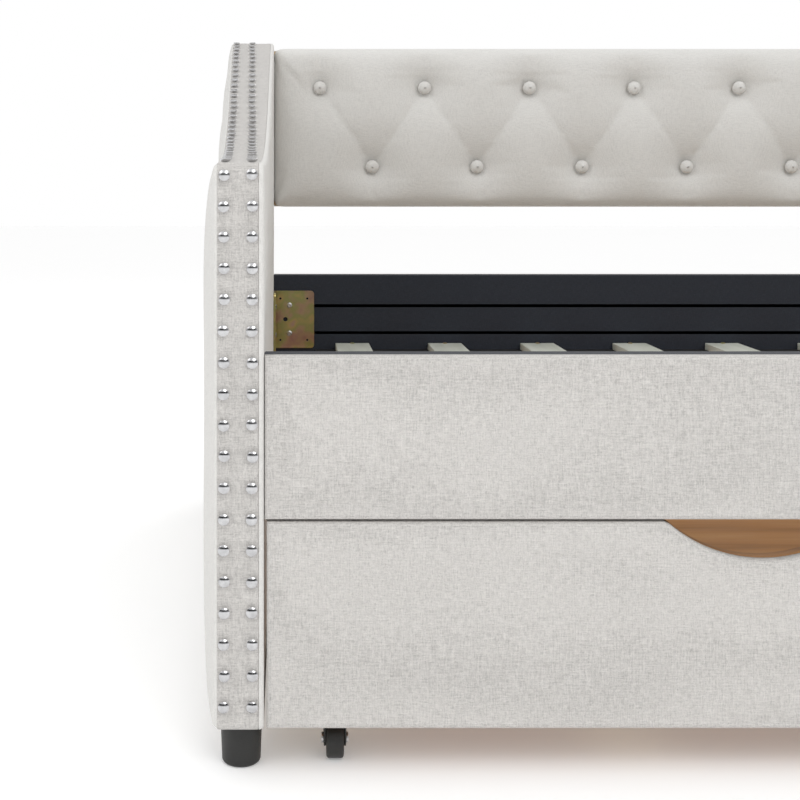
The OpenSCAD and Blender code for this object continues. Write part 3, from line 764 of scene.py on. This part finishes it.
def addButtons(look):
    draw = random.Random(9)
    radius, height = look["buttonRadius"], look["buttonHeight"]
    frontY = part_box("back_buttons")[0].y
    rings, around = 9, 32
    points, faces = [], []
    for centre in buttons:
        lean = (draw.uniform(-0.08, 0.08), draw.uniform(-0.08, 0.08))
        phase = draw.uniform(0, 6.28)
        first = len(points)
        for ring in range(rings):
            angle = math.radians(100 * (1 - ring / (rings - 1)) - 8)
            for i in range(around):
                turn = 2 * math.pi * i / around
                gather = 1 + 0.015 * math.sin(angle) ** 4 * math.sin(9 * turn + phase)
                reach = radius * math.sin(angle) * gather
                drop = height * (1 - math.cos(angle))
                u, v = reach * math.cos(turn), reach * math.sin(turn)
                depth = drop + lean[0] * u + lean[1] * v
                points.append((centre[0] + u, frontY + depth, centre[1] + v))
        for ring in range(rings - 1):
            for i in range(around):
                j = (i + 1) % around
                base = first + ring * around
                faces.append((base + i, base + j, base + around + j, base + around + i))
        faces.append(tuple(first + i for i in range(around)))
        faces.append(tuple(first + (rings - 1) * around + i for i in reversed(range(around))))
    piece = addPiece("back_covered_buttons", points, faces, "smooth_linen", "bed")
    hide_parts("back_buttons")


addBackPad(backLook)
addButtons(backLook)


def addRearCover():
    low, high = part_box("back_rear_cover")
    rim = rectangleRim((low.x, low.z), (high.x, high.z), 0.002, 0.012)

    def place(x, z, height):
        return stack(x, high.y + height, z)

    def relief(x, z, away):
        return ripple(x, z, 31, 0.20, 0.0005)

    cover = coveredPanel("back_rear_face", rim, roundedEdge(high.y - low.y, 0.002, 4), 0.014,
                         place, relief, "linen", "bed")
    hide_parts("back_rear_cover")


addRearCover()
print("back panel tufted")

panelLook = {
    "edgeRadius": 0.0052, "cell": 0.010, "swell": 0.0009, "swellReach": 0.03,
    "settle": 0.0006,  # how far the face lies under the board's own front
    "behind": 0.0005,  # room left at the back
}


def addCoveredBoard(name, node, rim, frontY, facing, seed, body):
    # a padded board's linen: facing -1 looks to the front, 1 to the rear
    low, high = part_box(node)

    def place(x, z, height):
        return stack(x, frontY + facing * height, z)

    def relief(x, z, away):
        crown = panelLook["swell"] * (1 - np.exp(-away / panelLook["swellReach"]))
        return crown - panelLook["settle"] + ripple(x, z, seed, 0.22, 0.0004)

    piece = coveredPanel(
        name, rim, roundedEdge(high.y - low.y - panelLook["behind"], panelLook["edgeRadius"]),
        panelLook["cell"], place, relief, "linen", body)
    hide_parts(node)


for node, facing, seed in (("front_rail_pad", -1, 41), ("rear_rail_pad", 1, 42)):
    low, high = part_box(node)
    rim = rectangleRim((low.x, low.z), (high.x, high.z), panelLook["edgeRadius"], 0.008)
    addCoveredBoard(node + "_linen", node, rim, low.y if facing < 0 else high.y, facing, seed, "bed")

trundleLook = {"cutWidth": 0.190, "cutDepth": 0.037, "cornerRadius": 0.012}


def trundleOutline(low, high, look):
    # the front's outline with its two hand cut-outs, whose upper corners are eased
    radius = (look["cutWidth"] ** 2 / 4 + look["cutDepth"] ** 2) / (2 * look["cutDepth"])
    half = math.degrees(math.asin(look["cutWidth"] / 2 / radius))
    ease = look["cornerRadius"]
    corners = [(low.x, low.z), (high.x, low.z), (high.x, high.z)]
    for cutX in (high.x / 2, low.x / 2):
        centreZ = high.z - look["cutDepth"] + radius
        cut = arcPoints((cutX, centreZ), radius, 270 + half, 270 - half, 24)
        dropped = [point for point in cut if high.z - point[1] > ease * 0.35]
        tipX = dropped[0][0] + ease
        corners.append((tipX + ease * 0.5, high.z))
        corners += easedCorner((tipX, high.z), cut[0], dropped[0])
        corners += dropped
        corners += easedCorner((2 * cutX - tipX, high.z), cut[-1], dropped[-1])[::-1]
        corners.append((2 * cutX - tipX - ease * 0.5, high.z))
    corners.append((low.x, high.z))
    return insetLoop(evenLoop(corners, 0.008), panelLook["edgeRadius"])


def easedCorner(start, corner, end):
    # a quadratic curve that rounds one corner
    return [
        tuple((1 - t) ** 2 * np.array(start) + 2 * (1 - t) * t * np.array(corner)
              + t * t * np.array(end))
        for t in (0.0, 0.2, 0.4, 0.6, 0.8)
    ]


low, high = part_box("trundle_front_pad")
addCoveredBoard("trundle_front_linen", "trundle_front_pad", trundleOutline(low, high, trundleLook),
                low.y, -1, 43, "trundle")
print("rails and trundle covered")

edgeSoftening = {  # how far the sharp arrises of hard pieces are eased, in metres
    "slat_paint": 0.0025, "deck_wood": 0.001, "timber": 0.0015, "yellow_zinc": 0.0004,
    "black_plastic": 0.0006, "black_paint": 0.0006, "bright_steel": 0.0002, "dark_lining": 0.0015,
}
slotOf = {entry["node"]: entry["material_slot"] for entry in frame["record"]["subparts"]}


def dressCadNodes():
    for name, piece in cad.items():
        finish = slotOf[name]
        for slot in piece.material_slots:
            slot.material = finishes[finish]
        ease = edgeSoftening.get(finish)
        if ease and not piece.hide_render:
            weld = piece.modifiers.new("weld", "WELD")
            weld.merge_threshold = 0.00001
            bevel = piece.modifiers.new("ease", "BEVEL")
            bevel.width = ease
            bevel.segments = 2
            bevel.limit_method = "ANGLE"
            bevel.angle_limit = math.radians(40)


dressCadNodes()
print("hard pieces dressed")

studioLook = {
    "floor": (0.90, 0.90, 0.90), "floorGlow": 0.2, "floorReach": 14,
    "sky": 0.95, "horizon": 0.58, "darkStretch": (0.012, 0.012, 0.014),
    "lamps": [  # name, place, what it faces, width, power
        ("key", (0.4, -3.2, 3.0), (-0.3, 0, 0.3), 2.6, 38),
        ("fill", (-3.0, -1.6, 2.2), (-0.6, 0, 0.4), 1.8, 10),
        ("rear", (1.2, 3.4, 2.4), (0, 0, 0.4), 2.2, 26),
    ],
}


def addFloor(look):
    mesh = bpy.data.meshes.new("studio_floor")
    reach = look["floorReach"]
    corners = [(-reach, -reach, 0), (reach, -reach, 0), (reach, reach, 0), (-reach, reach, 0)]
    mesh.from_pydata(corners, [], [(0, 1, 2, 3)])
    shade = Shader("studio_floor")
    patches = shade.noise(2.0, 2.0)
    pale = look["floor"]
    shade.join(shade.ramp(patches, [(0.3, shaded(pale, 0.995)), (0.7, pale)]), "Base Color")
    shade.fix(Roughness=0.8, Specular_IOR_Level=0.2, Emission_Color=(1, 1, 1, 1),
              Emission_Strength=look["floorGlow"])
    mesh.materials.append(shade.material)
    floor = bpy.data.objects.new("studio_floor", mesh)
    bpy.context.scene.collection.objects.link(floor)


def addWorld(look):
    # bright overhead and softer round the horizon; what the camera sees behind is plain white
    world = bpy.data.worlds.new("studio")
    bpy.context.scene.world = world
    world.use_nodes = True
    world.node_tree.nodes.clear()
    room = Nodes(world.node_tree)
    place = room.add("ShaderNodeTexCoord").outputs["Generated"]
    split = room.add("ShaderNodeSeparateXYZ", Vector=place).outputs
    sky = room.ramp(split["Z"], [(0.0, (look["horizon"],) * 3), (0.8, (look["sky"],) * 3)])
    light = room.add("ShaderNodeBackground", Color=sky)

    def fade(value, start, end):
        return room.add("ShaderNodeMapRange", {"interpolation_type": "SMOOTHSTEP"}, Value=value,
                        From_Min=start, From_Max=end).outputs[0]

    def mix(share, first, second):
        node = room.add("ShaderNodeMixShader", Fac=share)
        room.tree.links.new(first.outputs[0], node.inputs[1])
        room.tree.links.new(second.outputs[0], node.inputs[2])
        return node

    # polished metal also mirrors a darker stretch of the room, low down at the front
    low = room.math("MULTIPLY", fade(split["Z"], 0.05, 0.16), fade(split["Z"], 0.50, 0.38))
    stretch = room.math("MULTIPLY", low, fade(split["Y"], -0.35, -0.65))
    rays = room.add("ShaderNodeLightPath").outputs
    mirrored = room.math("MULTIPLY", stretch, rays["Is Glossy Ray"])
    dark = room.add("ShaderNodeBackground", Color=(*look["darkStretch"], 1))
    white = room.add("ShaderNodeBackground", Color=(1, 1, 1, 1))
    seen = mix(rays["Is Camera Ray"], mix(mirrored, light, dark), white)
    output = room.add("ShaderNodeOutputWorld")
    room.tree.links.new(seen.outputs[0], output.inputs["Surface"])


def addSoftbox(name, place, aim, size, power):
    data = bpy.data.lights.new(name, "AREA")
    data.shape = "DISK"
    data.size = size
    data.energy = power
    lamp = bpy.data.objects.new(name, data)
    lamp.location = place
    lamp.rotation_euler = (Vector(aim) - Vector(place)).to_track_quat("-Z", "Y").to_euler()
    bpy.context.scene.collection.objects.link(lamp)


addFloor(studioLook)
addWorld(studioLook)
for lamp in studioLook["lamps"]:
    addSoftbox(*lamp)
bpy.context.scene.view_settings.view_transform = "Standard"
print("studio lit")
